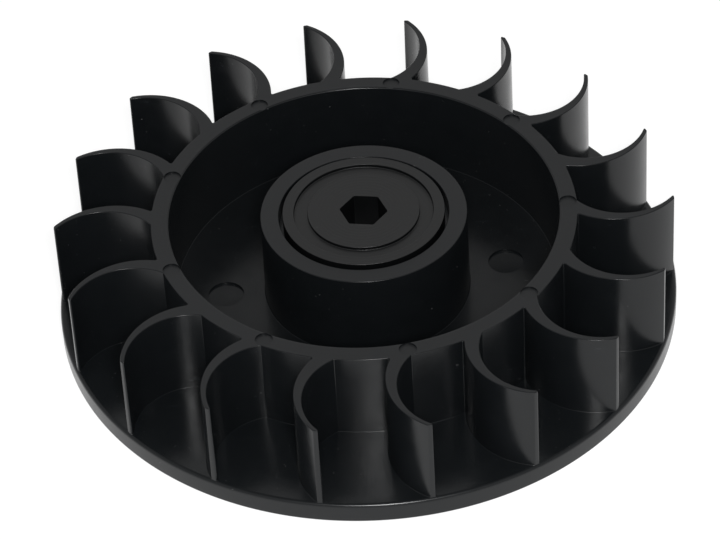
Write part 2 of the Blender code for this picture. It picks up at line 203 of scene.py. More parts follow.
RIVET_HEAD = 0.00075
RIVET_UNDER_HEAD = 0.00045
RIVET_TOP = 0.00075
RIVET_CROWN = RIVET_HEAD * 0.72
RIVET_CROWN_ROUND = 0.0001
RIVET_HEAD_ROUND = 0.00004

# Mesh fineness
CUTTER_REACH = 0.001
BODY_STEPS = 288
CAP_STEPS = 216
BEARING_STEPS = 144
ARC_STEP = math.radians(18)
SMOOTH_ANGLE = math.radians(34)
MERGE_DISTANCE = 0.000001
FLAT_FACE_WEIGHT = 100

# Scratches: features per metre along three turned axes, and the noise values where they fade in
SCRATCH_SCALE = (90.0, 2200.0, 700.0)
SCRATCH_TURN = (0.5, 0.3, 0.9)
SCRATCH_LOW = 0.74
SCRATCH_HIGH = 0.80


class Plastic(NamedTuple):
    """Finish of a black plastic: colours, lowest and highest roughness, grain and reflectance."""

    base: tuple
    # Colour of the specks: dust, and where it is pale also painted glints
    dust_and_glint: tuple
    rough: tuple
    grain: float
    shine: float


class Metal(NamedTuple):
    """Finish of a steel: colour, lowest and highest roughness, and whether it was turned."""

    colour: tuple
    rough: tuple
    turned: bool


# Speck colours: dust; the pale ones on the glossy plastic are also painted glints
PALE_DUST_AND_GLINT = (0.26, 0.26, 0.26)
DULL_DUST = (0.12, 0.12, 0.12)
DARK_DUST = (0.05, 0.05, 0.05)
WHEEL_GLOSS = Plastic((0.0048, 0.0056, 0.0063), PALE_DUST_AND_GLINT, (0.20, 0.27), 0.05, 0.30)
WHEEL_SATIN = Plastic((0.0075, 0.0082, 0.0090), DULL_DUST, (0.42, 0.50), 0.15, 0.42)
POCKET_FLOOR = Plastic((0.0052, 0.0062, 0.0070), PALE_DUST_AND_GLINT, (0.16, 0.22), 0.05, 0.45)
CAP_SATIN = Plastic((0.0080, 0.0083, 0.0086), DULL_DUST, (0.36, 0.46), 0.15, 0.42)
# Cap walls: the cap's own plastic made darker and less reflective, as painted shade
CAP_WALLS_PAINTED_SHADE = Plastic((0.0022, 0.0024, 0.0026), DARK_DUST, (0.30, 0.40), 0.05, 0.06)
RACE_STEEL = Metal((0.55, 0.56, 0.58), (0.18, 0.30), True)
BALL_STEEL = Metal((0.75, 0.76, 0.78), (0.04, 0.10), False)
CAGE_STEEL = Metal((0.50, 0.48, 0.44), (0.32, 0.45), False)
SHIELD_STEEL = Metal((0.62, 0.62, 0.63), (0.28, 0.40), True)

# Plastic: noise scales in features per metre, relief in metres, tints as factors of the colour
PLASTIC_WAVES = 260.0
PLASTIC_GRAIN = 900.0
PLASTIC_GRAIN_RELIEF = 0.0001
PLASTIC_IOR = 1.5
DUST_AND_GLINT_SPECKS = 2600.0
DUST_AND_GLINT_LOW = 0.755
DUST_AND_GLINT_HIGH = 0.80
PALER_TINT = 1.35
SCRATCH_TINT = 2.2

# Noise values between which a finish goes from its lowest to its highest roughness
UNEVEN_LOW = 0.3
UNEVEN_HIGH = 0.7

# Steel: stains, and the rings left by turning
METAL_STAINS = 500.0
METAL_STAIN_TINT = 0.82
METAL_RINGS = 1400.0
METAL_RING_WANDER = 1.5
METAL_RING_STRENGTH = 0.12
METAL_RING_RELIEF = 0.00005

# Rings in the cap's face, and streaks along the radius on the floors between the vanes
CAP_RINGS = 420.0
CAP_RING_WANDER = 3.0
CAP_RING_STRENGTH = 0.08
CAP_RING_RELIEF = 0.00008
STREAKS_PER_RADIAN = 420.0
STREAKS_ALONG = 70.0
STREAK_STRENGTH = 0.10
STREAK_RELIEF = 0.0001

# Faces that take the other finishes
LEVEL_FACE = 0.99
UPWARD_FACE = 0.5
TOP_REACH = 1.5 * RING_MARK_DEPTH
FLOOR_REACH = 0.0001
SATIN_SLOT = 1
POCKET_SLOT = 2

# Sockets of a colour mix node
MIX_FIRST = 6
MIX_SECOND = 7
MIX_RESULT = 2

# Table, surroundings and light
TABLE_SIZE = 3.0
TABLE_GAP = 0.0002
TABLE_GREY = (0.30, 0.30, 0.30, 1.0)
TABLE_ROUGHNESS = 0.9
TABLE_GLOW = 0.79
WHITE = (1.0, 1.0, 1.0, 1.0)
HORIZON_STRENGTH = 0.56
OVERHEAD_STRENGTH = 0.2
SOFTBOX_OFFSET = Vector((0.02, 0.0, 0.01))
SOFTBOX_WIDTH = 0.12
SOFTBOX_HEIGHT = 0.09
SOFTBOX_POWER = 3.0

# Sine of the elevations between which the surroundings darken
WORLD_FADE_LOW = 0.70
WORLD_FADE_HIGH = 0.95

# Camera, in wheel radii from the wheel's axis at the ring's top
CAMERA_DISTANCE = 11.068
CAMERA_ELEVATION = math.radians(41.31)
CAMERA_TARGET = (-0.0216, -0.273)
CAMERA_ROLL = -0.0583
CAMERA_LENS = 173.43
CAMERA_SENSOR = 36.0
CAMERA_NEAR = 0.01
CAMERA_FAR = 20.0


# ---------------------------------------------------------------- mesh helpers


def add_object(name, mesh):
    obj = bpy.data.objects.new(name, mesh)
    bpy.context.scene.collection.objects.link(obj)
    return obj


def applied_mesh(obj):
    """The object's mesh with its modifiers applied."""
    bpy.context.view_layer.update()
    graph = bpy.context.evaluated_depsgraph_get()
    return bpy.data.meshes.new_from_object(obj.evaluated_get(graph))


def apply_modifiers(obj):
    mesh = applied_mesh(obj)
    obj.modifiers.clear()
    obj.data = mesh
    return obj


def cut(obj, other, operation="DIFFERENCE"):
    """Boolean with another object, applied at once; the other object is then removed."""
    modifier = obj.modifiers.new("cut", "BOOLEAN")
    modifier.operation = operation
    modifier.object = other
    modifier.solver = "EXACT"
    apply_modifiers(obj)
    bpy.data.objects.remove(other, do_unlink=True)
    return obj


def shade(obj):
    """Smooth shading with sharp edges kept and flat faces flat up to their rounded edges."""
    obj.data.shade_smooth()
    obj.data.set_sharp_from_angle(angle=SMOOTH_ANGLE)
    weighted = obj.modifiers.new("flat_faces", "WEIGHTED_NORMAL")
    weighted.keep_sharp = True
    weighted.weight = FLAT_FACE_WEIGHT
    return obj


def rounded(corners, closed=True):
    """Points of a path whose (x, y, radius) corners are rounded by true arcs."""
    points = []
    count = len(corners)
    for i, (x, y, radius) in enumerate(corners):
        at = Vector((x, y))
        ends = not closed and i in (0, count - 1)
        if radius <= 0 or ends:
            points.append((x, y))
            continue
        before = Vector(corners[i - 1][:2]) - at
        after = Vector(corners[(i + 1) % count][:2]) - at
        turn = before.angle(after)
        reach = radius / math.tan(turn / 2)
        start = at + before.normalized() * reach
        end = at + after.normalized() * reach
        middle = (before.normalized() + after.normalized()).normalized()
        centre = at + middle * (radius / math.sin(turn / 2))
        first = start - centre
        sweep = first.angle_signed(end - centre)
        steps = max(2, round(abs(sweep) / ARC_STEP))
        for k in range(steps + 1):
            arm = first.copy()
            arm.rotate(Matrix.Rotation(-sweep * k / steps, 2))
            points.append(tuple(centre + arm))
    return points


def turned(name, profile, steps, closed=True):
    """A profile of (radius, height) points turned about Z by a Screw modifier, applied."""
    mesh = bpy.data.meshes.new(name)
    edges = [(i, i + 1) for i in range(len(profile) - 1)]
    if closed:
        edges.append((len(profile) - 1, 0))
    mesh.from_pydata([(r, 0.0, z) for r, z in profile], edges, [])
    obj = add_object(name, mesh)
    screw = obj.modifiers.new("turn", "SCREW")
    screw.axis = "Z"
    screw.steps = steps
    screw.render_steps = steps
    screw.use_merge_vertices = True
    screw.merge_threshold = MERGE_DISTANCE
    return apply_modifiers(obj)


def from_bmesh(name, bm):
    mesh = bpy.data.meshes.new(name)
    bm.to_mesh(mesh)
    bm.free()
    return add_object(name, mesh)


def polar(radius, angle):
    return radius * math.cos(angle), radius * math.sin(angle)


def prisms(name, places, radius, low, high, sides, turn=0.0):
    """Equal upright prisms at the given (x, y) places, as one cutter."""
    bm = bmesh.new()
    for x, y in places:
        spot = Matrix.Translation((x, y, (low + high) / 2)) @ Matrix.Rotation(turn, 4, "Z")
        bmesh.ops.create_cone(
            bm,
            cap_ends=True,
            segments=sides,
            radius1=radius,
            radius2=radius,
            depth=high - low,
            matrix=spot,
        )
    return from_bmesh(name, bm)


# ---------------------------------------------------------------- wheel


def wheel_body():
    """Disc, inner skin of the ring wall, hub and bearing seat, turned from one rounded section."""
    top = WHEEL_TOP
    edge = EDGE_ROUND
    corners = [
        (WHEEL_RADIUS, DISC_TOP, RIM_FILLET),
        (WHEEL_RADIUS, 0.0, RIM_FOOT_ROUND),
        (RELIEF_RADIUS, 0.0, RELIEF_EDGE_ROUND),
        (RELIEF_RADIUS, RELIEF_DEPTH, RELIEF_CORNER_ROUND),
        (BOSS_RADIUS, RELIEF_DEPTH, RELIEF_CORNER_ROUND),
        (BOSS_RADIUS, 0.0, RELIEF_EDGE_ROUND),
        (SEAT_RADIUS, 0.0, SEAT_LEAD_ROUND),
        (SEAT_RADIUS, SHOULDER_Z, STEP_CORNER_ROUND),
        (SHOULDER_RADIUS, SHOULDER_Z, edge),
        (SHOULDER_RADIUS, SPIGOT_SEAT_Z, edge),
        (SPIGOT_SEAT_RADIUS, SPIGOT_SEAT_Z, STEP_CORNER_ROUND),
        (SPIGOT_SEAT_RADIUS, MOUTH_FLOOR_Z, edge),
        (MOUTH_RADIUS, MOUTH_FLOOR_Z, STEP_CORNER_ROUND),
        (MOUTH_RADIUS, top, edge),
        (HUB_RADIUS, top, edge),
        (HUB_RADIUS + WALL_DRAFT, DISC_TOP, BASE_FILLET),
        (RING_INNER - WALL_DRAFT, DISC_TOP, BASE_FILLET),
        (RING_INNER, top, RING_EDGE_ROUND),
        (RING_CORE_TOP, top, 0.0),
        (RING_CORE_FOOT, DISC_TOP, 0.0),
    ]
    return turned("turbine_wheel_moulding", rounded(corners), BODY_STEPS)


def on_circle(centre, radius, angle):
    return centre + Vector(polar(radius, angle))


def arc_run(centre, start, end, steps, sense):
    """Points from start to end round a centre, anticlockwise for a sense of 1, clockwise for -1."""
    first = start - centre
    from_angle = math.atan2(first.y, first.x)
    last = end - centre
    sweep = (math.atan2(last.y, last.x) - from_angle) % (2 * math.pi)
    if sense < 0:
        sweep -= 2 * math.pi
    if steps is None:
        steps = max(2, round(abs(sweep) * first.length / OUTLINE_SPACING))
    return [on_circle(centre, first.length, from_angle + sweep * i / steps) for i in range(steps + 1)]


def tangent_centre(first, first_radius, second, second_radius, side):
    """Point at set distances from two centres, on the chosen side of the line between them."""
    between = second - first
    span = between.length
    along = (first_radius**2 - second_radius**2 + span**2) / (2 * span)
    across = math.sqrt(first_radius**2 - along**2)
    unit = between / span
    return first + unit * along + Vector((-unit.y, unit.x)) * across * side


def vane_outline():
    """One vane with its root fillets and round tip, then the ring's wall as far as the next vane."""
    axis = Vector((0.0, 0.0))
    back = Vector(VANE_BACK_CENTRE)
    face = Vector(VANE_FACE_CENTRE)
    rho = BACK_ROOT_FILLET
    back_root = tangent_centre(axis, RING_OUTER + rho, back, VANE_BACK_RADIUS + rho, -1)
    wall_end = back_root.normalized() * RING_OUTER
    back_start = back + (back_root - back).normalized() * VANE_BACK_RADIUS
    rho = TIP_CORNER
    back_tip = tangent_centre(axis, VANE_TIP_RADIUS - rho, back, VANE_BACK_RADIUS - rho, -1)
    back_end = back + (back_tip - back).normalized() * VANE_BACK_RADIUS
    edge_start = back_tip.normalized() * VANE_TIP_RADIUS
    face_tip = tangent_centre(axis, VANE_TIP_RADIUS - rho, face, VANE_FACE_RADIUS + rho, -1)
    edge_end = face_tip.normalized() * VANE_TIP_RADIUS
    face_start = face + (face_tip - face).normalized() * VANE_FACE_RADIUS
    rho = FACE_ROOT_FILLET
    face_root = tangent_centre(axis, RING_OUTER + rho, face, VANE_FACE_RADIUS - rho, -1)
    face_end = face + (face_root - face).normalized() * VANE_FACE_RADIUS
    wall_start = face_root.normalized() * RING_OUTER
    next_wall_end = wall_end.copy()
    next_wall_end.rotate(Matrix.Rotation(VANE_PITCH, 2))
    run = arc_run(back_root, wall_end, back_start, ROOT_STEPS, -1)[1:]
    run += arc_run(back, back_start, back_end, None, 1)[1:]
    run += arc_run(back_tip, back_end, edge_start, TIP_STEPS, 1)[1:]
    run += arc_run(axis, edge_start, edge_end, TIP_STEPS, 1)[1:]
    run += arc_run(face_tip, edge_end, face_start, TIP_STEPS, 1)[1:]
    run += arc_run(face, face_start, face_end, None, -1)[1:]
    run += arc_run(face_root, face_end, wall_start, ROOT_STEPS, -1)[1:]
    run += arc_run(axis, wall_start, next_wall_end, None, 1)[1:]
    return run


def crown_outline():
    """Plan outline of the ring's outer wall with all the vanes, going anticlockwise."""
    one = vane_outline()
    outline = []
    for i in range(VANE_COUNT):
        turn = Matrix.Rotation(FIRST_VANE_ANGLE + i * VANE_PITCH, 2)
        outline += [turn @ point for point in one]
    return outline


def outward_normals(outline):
    """Unit normals of an anticlockwise outline, pointing out of it."""
    normals = []
    count = len(outline)
    for i in range(count):
        along = (outline[(i + 1) % count] - outline[i - 1]).normalized()
        normals.append(Vector((along.y, -along.x)))
    return normals


def crown_rows():
    """Heights and outward offsets of the vanes' side: foot fillet, draft, rounded top edge."""
    quarter = math.pi / 2
    rows = [(DISC_TOP - ROOT_IN_DISC, VANE_DRAFT + VANE_FILLET)]
    for i in range(FOOT_STEPS + 1):
        turn = quarter * i / FOOT_STEPS
        rise = VANE_FILLET * (1 - math.cos(turn))
        spread = VANE_FILLET * (1 - math.sin(turn))
        rows.append((DISC_TOP + rise, VANE_DRAFT + spread))
    for i in range(EDGE_STEPS + 1):
        turn = quarter * i / EDGE_STEPS
        drop = EDGE_ROUND * (1 - math.sin(turn))
        inset = EDGE_ROUND * (1 - math.cos(turn))
        rows.append((WHEEL_TOP - drop, -inset))
    return rows


def vane_crown():
    """Ring wall and vanes as one upright solid with draft, a rounded top edge and a foot fillet."""
    outline = crown_outline()
    normals = outward_normals(outline)
    bm = bmesh.new()
    loops = []
    for height, offset in crown_rows():
        loop = []
        for point, normal in zip(outline, normals):
            placed = point + normal * offset
            if placed.length > FOOT_LIMIT:
                placed = placed.normalized() * FOOT_LIMIT
            loop.append(bm.verts.new((*placed, height)))
        loops.append(loop)
    count = len(outline)
    for low, high in zip(loops, loops[1:]):
        for i in range(count):
            j = (i + 1) % count
            bm.faces.new((low[i], low[j], high[j], high[i]))
    bm.faces.new(loops[-1])
    bm.faces.new(list(reversed(loops[0])))
    crown = from_bmesh("vane_crown", bm)
    bore_top = WHEEL_TOP + CUTTER_REACH
    bore = prisms("crown_bore", [(0, 0)], CROWN_BORE_RADIUS, 0.0, bore_top, BODY_STEPS)
    return cut(crown, bore)


def floor_dents():
    """Two flat round recesses in the channel's floor, left by the ends of the ejector pins."""
    low = DISC_TOP - FLOOR_MARK_DEPTH
    top = DISC_TOP + CUTTER_REACH
    corners = [
        (0.0, top, 0.0),
        (FLOOR_MARK_RADIUS, top, 0.0),
        (FLOOR_MARK_RADIUS, low, FLOOR_MARK_CORNER),
        (0.0, low, 0.0),
    ]
    profile = rounded(corners, closed=False)
    dents = []
    for index, angle in enumerate(FLOOR_MARK_ANGLES):
        dent = turned(f"floor_dent_{index + 1}", profile, FLOOR_MARK_STEPS, closed=False)
        dent.location = (*polar(FLOOR_MARK_PITCH_RADIUS, angle), 0.0)
        dents.append(dent)
    return dents


def ring_marks():
    """Shallow round recesses in the ring's top, one at every second vane."""
    middle = (RING_INNER + RING_OUTER) / 2
    low = WHEEL_TOP - RING_MARK_DEPTH
    high = WHEEL_TOP + CUTTER_REACH
    places = []
    for i in range(0, VANE_COUNT, 2):
        places.append(polar(middle, FIRST_VANE_ANGLE + i * VANE_PITCH + RING_MARK_OFFSET))
    return prisms("ring_marks", places, RING_MARK_RADIUS, low, high, RING_MARK_SIDES)


def make_wheel():
    """The whole moulding: turned body, vanes, and the marks in its ring and floor."""
    wheel = wheel_body()
    cut(wheel, vane_crown(), "UNION")
    cut(wheel, ring_marks())
    for dent in floor_dents():
        cut(wheel, dent)
    return shade(wheel)


# ---------------------------------------------------------------- drive cap


def cap_body(core):
    """Cap turned round a plain bore of radius core, with a sunk band and a raised middle."""
    floor = CAP_TOP - CAP_BAND_DEPTH
    corners = [
        (CAP_RADIUS, CAP_TOP, CAP_ROUND),
        (CAP_RADIUS, CAP_FLANGE_Z, CAP_CORNER_ROUND),
        (CAP_SPIGOT_RADIUS, CAP_FLANGE_Z, CAP_CORNER_ROUND),
        (CAP_SPIGOT_RADIUS, CAP_BOTTOM, CAP_FOOT_ROUND),
        (core, CAP_BOTTOM, 0.0),
        (core, CAP_TOP, 0.0),
        (CAP_BAND_INNER, CAP_TOP, CAP_CORNER_ROUND),
        (CAP_BAND_INNER + CAP_MIDDLE_SLOPE, floor, CAP_MIDDLE_FILLET),
        (CAP_BAND_OUTER - CAP_BAND_SLOPE, floor, CAP_CORNER_ROUND),
        (CAP_BAND_OUTER, CAP_TOP, CAP_CORNER_ROUND),
    ]
    return turned("hex_drive_cap", rounded(corners), CAP_STEPS)


def hex_hole(corner_radius):
    """Hexagonal cutter through the cap, its upright edges slightly bevelled."""
    low = CAP_BOTTOM - CUTTER_REACH
    high = CAP_TOP + CUTTER_REACH
    hole = prisms("hex_hole", [(0, 0)], corner_radius, low, high, HEX_SIDES, HEX_TURN)
    bm = bmesh.new()
    bm.from_mesh(hole.data)
    upright = [e for e in bm.edges if abs(e.verts[0].co.z - e.verts[1].co.z) > UPRIGHT_RISE]
    bmesh.ops.bevel(
        bm,
        geom=upright,
        offset=HEX_EDGE_BEVEL,
        segments=HEX_EDGE_SEGMENTS,
        profile=0.5,
        affect="EDGES",
    )
    bm.to_mesh(hole.data)
    bm.free()
    return hole


def hex_lead_in(corner_radius):
    """Six-sided cone that widens the mouth of the hexagonal hole."""
    depth = HEX_LEAD_IN + CUTTER_REACH
    spot = Matrix.Translation((0, 0, CAP_TOP - HEX_LEAD_IN + depth / 2))
    bm = bmesh.new()
    bmesh.ops.create_cone(
        bm,
        cap_ends=True,
        segments=HEX_SIDES,
        radius1=corner_radius - HEX_LEAD_START,
        radius2=corner_radius + HEX_LEAD_IN + CUTTER_REACH,
        depth=depth,
        matrix=spot @ Matrix.Rotation(HEX_TURN, 4, "Z"),
    )
    return from_bmesh("hex_lead_in", bm)


def make_drive_cap():
    """Turned cap with its hexagonal hole and a small lead-in."""
    corner_radius = HEX_ACROSS_FLATS / math.sqrt(3)
    cap = cap_body(corner_radius / 2)
    cut(cap, hex_hole(corner_radius))
    cut(cap, hex_lead_in(corner_radius))
    return shade(cap)


# ---------------------------------------------------------------- bearing


def groove(centre_angle, land_radius):
    """Raceway groove between its two lands, going down from the upper land."""
    radius = BALL_RADIUS + GROOVE_CLEARANCE
    half = math.acos(abs(PITCH_RADIUS - land_radius) / radius)
    side = 1 if centre_angle == 0 else -1
    points = []
    for i in range(GROOVE_STEPS + 1):
        angle = centre_angle + side * half * (1 - 2 * i / GROOVE_STEPS)
        points.append((PITCH_RADIUS + radius * math.cos(angle), radius * math.sin(angle)))
    return points


def make_outer_race():
    """Outer ring with its raceway, and a lip and groove for a shield at either side."""
    half = BEARING_HALF_WIDTH
    land = PITCH_RADIUS + BALL_RADIUS - LAND_DEPTH
    outside = [(BEARING_RADIUS, half, RACE_ROUND), (BEARING_RADIUS, -half, RACE_ROUND)]
    lower = [
        (SHIELD_LIP_RADIUS, -half, RACE_LIP_ROUND),
        (SHIELD_LIP_RADIUS, -SHIELD_GROOVE_END, LAND_ROUND),
        (SHIELD_GROOVE_RADIUS, -SHIELD_GROOVE_END, 0.0),
        (SHIELD_GROOVE_RADIUS, -SHIELD_SEAT, 0.0),
        (land, -SHIELD_SEAT, LAND_ROUND),
    ]
    raceway = [(r, z, 0.0) for r, z in reversed(groove(0.0, land))]
    upper = [(r, -z, rounding) for r, z, rounding in reversed(lower)]
    race = turned("outer_race_ring", rounded(outside + lower + raceway + upper), BEARING_STEPS)
    race.location.z = BEARING_MID
    return shade(race)


def make_inner_race():
    """Inner ring with its bore, its raceway and a notch under either shield."""
    half = BEARING_HALF_WIDTH
    land = PITCH_RADIUS - BALL_RADIUS + LAND_DEPTH
    upper = [
        (SHIELD_NOTCH_RADIUS, half, RACE_NOTCH_ROUND),
        (SHIELD_NOTCH_RADIUS, SHIELD_SEAT, 0.0),
        (land, SHIELD_SEAT, LAND_ROUND),
    ]
    raceway = [(r, z, 0.0) for r, z in groove(math.pi, land)]
    lower = [(r, -z, rounding) for r, z, rounding in reversed(upper)]
    bore = [(BORE_RADIUS, -half, RACE_ROUND), (BORE_RADIUS, half, RACE_ROUND)]
    race = turned("inner_race_ring", rounded(upper + raceway + lower + bore), BEARING_STEPS)
    race.location.z = BEARING_MID
    return shade(race)


def make_shield(name, side):
    """Pressed ring with its middle dished outwards, on the upper (1) or lower (-1) side."""
    low = SHIELD_LOW
    raised = low + SHIELD_DISH
    bend = SHIELD_BEND_RADIUS
    inside = [(SHIELD_OUTER, low), (bend, low), (bend - SHIELD_DISH, raised), (SHIELD_INNER, raised)]
    outside = [(r, z + SHIELD_THICKNESS) for r, z in reversed(inside)]
    profile = [(r, z, SHIELD_ROUND) for r, z in inside + outside]
    if side < 0:
        profile = [(r, -z, rounding) for r, z, rounding in reversed(profile)]
    shield = turned(name, rounded(profile), BEARING_STEPS)
    shield.location.z = BEARING_MID
    return shade(shield)


def ball_angle(index):
    return index * 2 * math.pi / BALL_COUNT


def make_ball(index):
    bm = bmesh.new()
    bmesh.ops.create_uvsphere(
        bm,
        u_segments=BALL_SEGMENTS,
        v_segments=BALL_RINGS,
        radius=BALL_RADIUS * BALL_FIT,
    )
    ball = from_bmesh(f"ball_{index + 1}_polished", bm)
    ball.location = (*polar(PITCH_RADIUS, ball_angle(index)), BEARING_MID)
    ball.data.shade_smooth()
    return ball


def make_cage_half(name, side):
    """Pressed ribbon with a half-round pocket over each ball and a rivet hole between them."""
    bm = bmesh.new()
    rows = []
    for ball in range(BALL_COUNT):
        for i in range(POCKET_STEPS + 1):
            angle = math.pi * (1 - i / POCKET_STEPS)
            offset = POCKET_RADIUS * math.cos(angle)
            height = max(POCKET_RADIUS * math.sin(angle), CAGE_FLAT)
            row = []
            for radius in (CAGE_INNER, (CAGE_INNER + CAGE_OUTER) / 2, CAGE_OUTER):
                turn = ball_angle(ball) + math.asin(offset / radius)
                row.append(bm.verts.new((*polar(radius, turn), side * height)))
            rows.append(row)
    for i, row in enumerate(rows):
        following = rows[(i + 1) % len(rows)]
        for k in range(2):
            corners = [row[k], row[k + 1], following[k + 1], following[k]]
            if side < 0:
                corners.reverse()
            bm.faces.new(corners)
    cage = from_bmesh(name, bm)
    shell = cage.modifiers.new("thickness", "SOLIDIFY")
    shell.thickness = CAGE_THICKNESS * CAGE_FIT
    shell.offset = 0.0
    apply_modifiers(cage)
    places = [polar(PITCH_RADIUS, ball_angle(i + 0.5)) for i in range(BALL_COUNT)]
    reach = RIVET_HOLE_REACH
    cut(cage, prisms(f"{name}_holes", places, RIVET_HOLE, -reach, reach, RIVET_STEPS))
    cage.location.z = BEARING_MID
    return shade(cage)


def make_rivet(index):
    """Rivet with a low head at either end."""
    upper = [
        (0.0, RIVET_TOP, 0.0),
        (RIVET_CROWN, RIVET_TOP, RIVET_CROWN_ROUND),
        (RIVET_HEAD, RIVET_UNDER_HEAD, RIVET_HEAD_ROUND),
        (RIVET_SHANK, RIVET_UNDER_HEAD, 0.0),
    ]
    corners = upper + [(r, -z, rounding) for r, z, rounding in reversed(upper)]
    rivet = turned(f"rivet_{index + 1}", rounded(corners, closed=False), RIVET_STEPS, closed=False)
    rivet.location = (*polar(PITCH_RADIUS, ball_angle(index + 0.5)), BEARING_MID)
    return shade(rivet)


# ---------------------------------------------------------------- materials


def new_material(name):
    material = bpy.data.materials.new(name)
    material.use_nodes = True
    tree = material.node_tree
    return material, tree, tree.nodes["Principled BSDF"]


def noise(tree, scale, detail=4.0, roughness=0.55):
    """Noise in object space, its scale in features per metre."""
    place = tree.nodes.get("place") or tree.nodes.new("ShaderNodeTexCoord")
    place.name = "place"
    node = tree.nodes.new("ShaderNodeTexNoise")
    node.inputs["Scale"].default_value = scale
    node.inputs["Detail"].default_value = detail
    node.inputs["Roughness"].default_value = roughness
    tree.links.new(place.outputs["Object"], node.inputs["Vector"])
    return node


def remap(tree, value, low, high, to_low, to_high):
    """A value's range from low to high, mapped onto another range and clamped to it."""
    node = tree.nodes.new("ShaderNodeMapRange")
    node.inputs["From Min"].default_value = low
    node.inputs["From Max"].default_value = high
    node.inputs["To Min"].default_value = to_low
    node.inputs["To Max"].default_value = to_high
    tree.links.new(value, node.inputs["Value"])
    return node.outputs["Result"]


def mix_colour(tree, factor, first, second):
    """Blend of two colours, each a plain colour or another node's output."""
    node = tree.nodes.new("ShaderNodeMix")
    node.data_type = "RGBA"
    tree.links.new(factor, node.inputs["Factor"])
    for index, value in ((MIX_FIRST, first), (MIX_SECOND, second)):
        socket = node.inputs[index]
        if isinstance(value, tuple):
            socket.default_value = (*value, 1.0)
        else:
            tree.links.new(value, socket)
    return node.outputs[MIX_RESULT]


def turned_rings(tree, scale, distortion):
    """Fine rings round the object's axis, as a tool or a mould insert leaves them."""
    rings = tree.nodes.new("ShaderNodeTexWave")
    rings.wave_type = "RINGS"
    rings.rings_direction = "Z"
    rings.inputs["Scale"].default_value = scale
    rings.inputs["Distortion"].default_value = distortion
    rings.inputs["Detail"].default_value = 2.0
    tree.links.new(tree.nodes["place"].outputs["Object"], rings.inputs["Vector"])
    return rings


def scratches(tree):
    """Sparse short straight scratches, 1 on a line and 0 elsewhere."""
    node = noise(tree, 1.0, detail=1.0, roughness=0.5)
    stretch = tree.nodes.new("ShaderNodeMapping")
    stretch.inputs["Rotation"].default_value = SCRATCH_TURN
    stretch.inputs["Scale"].default_value = SCRATCH_SCALE
    tree.links.new(tree.nodes["place"].outputs["Object"], stretch.inputs["Vector"])
    tree.links.new(stretch.outputs["Vector"], node.inputs["Vector"])
    return remap(tree, node.outputs["Fac"], SCRATCH_LOW, SCRATCH_HIGH, 0.0, 1.0)


def radial_streaks(tree, across, along):
    """Noise drawn out along the radius, its scales per radian and per metre."""
    node = noise(tree, 1.0, detail=3.0, roughness=0.6)
    split = tree.nodes.new("ShaderNodeSeparateXYZ")
    turn = tree.nodes.new("ShaderNodeMath")
    turn.operation = "ARCTAN2"
    spread = tree.nodes.new("ShaderNodeMath")
    spread.operation = "MULTIPLY"
    spread.inputs[1].default_value = across
    reach = tree.nodes.new("ShaderNodeVectorMath")
    reach.operation = "LENGTH"
    stretch = tree.nodes.new("ShaderNodeMath")
    stretch.operation = "MULTIPLY"
    stretch.inputs[1].default_value = along
    join = tree.nodes.new("ShaderNodeCombineXYZ")
    place = tree.nodes["place"].outputs["Object"]
    tree.links.new(place, split.inputs["Vector"])
    tree.links.new(split.outputs["Y"], turn.inputs[0])
    tree.links.new(split.outputs["X"], turn.inputs[1])
    tree.links.new(turn.outputs["Value"], spread.inputs[0])
    tree.links.new(place, reach.inputs[0])
    tree.links.new(reach.outputs["Value"], stretch.inputs[0])
    tree.links.new(spread.outputs["Value"], join.inputs["X"])
    tree.links.new(stretch.outputs["Value"], join.inputs["Y"])
    tree.links.new(join.outputs["Vector"], node.inputs["Vector"])
    return node


def add_bump(tree, shader, height, strength, distance):
    """Bump on top of whatever already drives the shader's normal."""
    node = tree.nodes.new("ShaderNodeBump")
    node.inputs["Strength"].default_value = strength
    node.inputs["Distance"].default_value = distance
    tree.links.new(height, node.inputs["Height"])
    socket = shader.inputs["Normal"]
    if socket.is_linked:
        tree.links.new(socket.links[0].from_socket, node.inputs["Normal"])
    tree.links.new(node.outputs["Normal"], socket)


def black_plastic(name, finish):
    """Moulded black plastic: uneven gloss, fine grain, sparse scratches and specks of dust, the pale
    ones also painted glints.
    """
    material, tree, shader = new_material(name)
    broad = noise(tree, PLASTIC_WAVES)
    # Specks of dust laid over the colour; where their colour is pale they also serve as painted
    # glints
    specks = noise(tree, DUST_AND_GLINT_SPECKS, detail=2.0, roughness=0.6)
    amount = remap(tree, specks.outputs["Fac"], DUST_AND_GLINT_LOW, DUST_AND_GLINT_HIGH, 0.0, 1.0)
    paler = tuple(c * PALER_TINT for c in finish.base)
    scuff = tuple(c * SCRATCH_TINT for c in finish.base)
    tint = mix_colour(tree, broad.outputs["Fac"], finish.base, paler)
    scuffed = mix_colour(tree, scratches(tree), tint, scuff)
    colour = mix_colour(tree, amount, scuffed, finish.dust_and_glint)
    tree.links.new(colour, shader.inputs["Base Color"])
    gloss = remap(tree, broad.outputs["Fac"], UNEVEN_LOW, UNEVEN_HIGH, *finish.rough)
    tree.links.new(gloss, shader.inputs["Roughness"])
    shader.inputs["IOR"].default_value = PLASTIC_IOR
    shader.inputs["Specular IOR Level"].default_value = finish.shine
    grain = noise(tree, PLASTIC_GRAIN, detail=3.0, roughness=0.5)
    add_bump(tree, shader, grain.outputs["Fac"], finish.grain, PLASTIC_GRAIN_RELIEF)
    return material


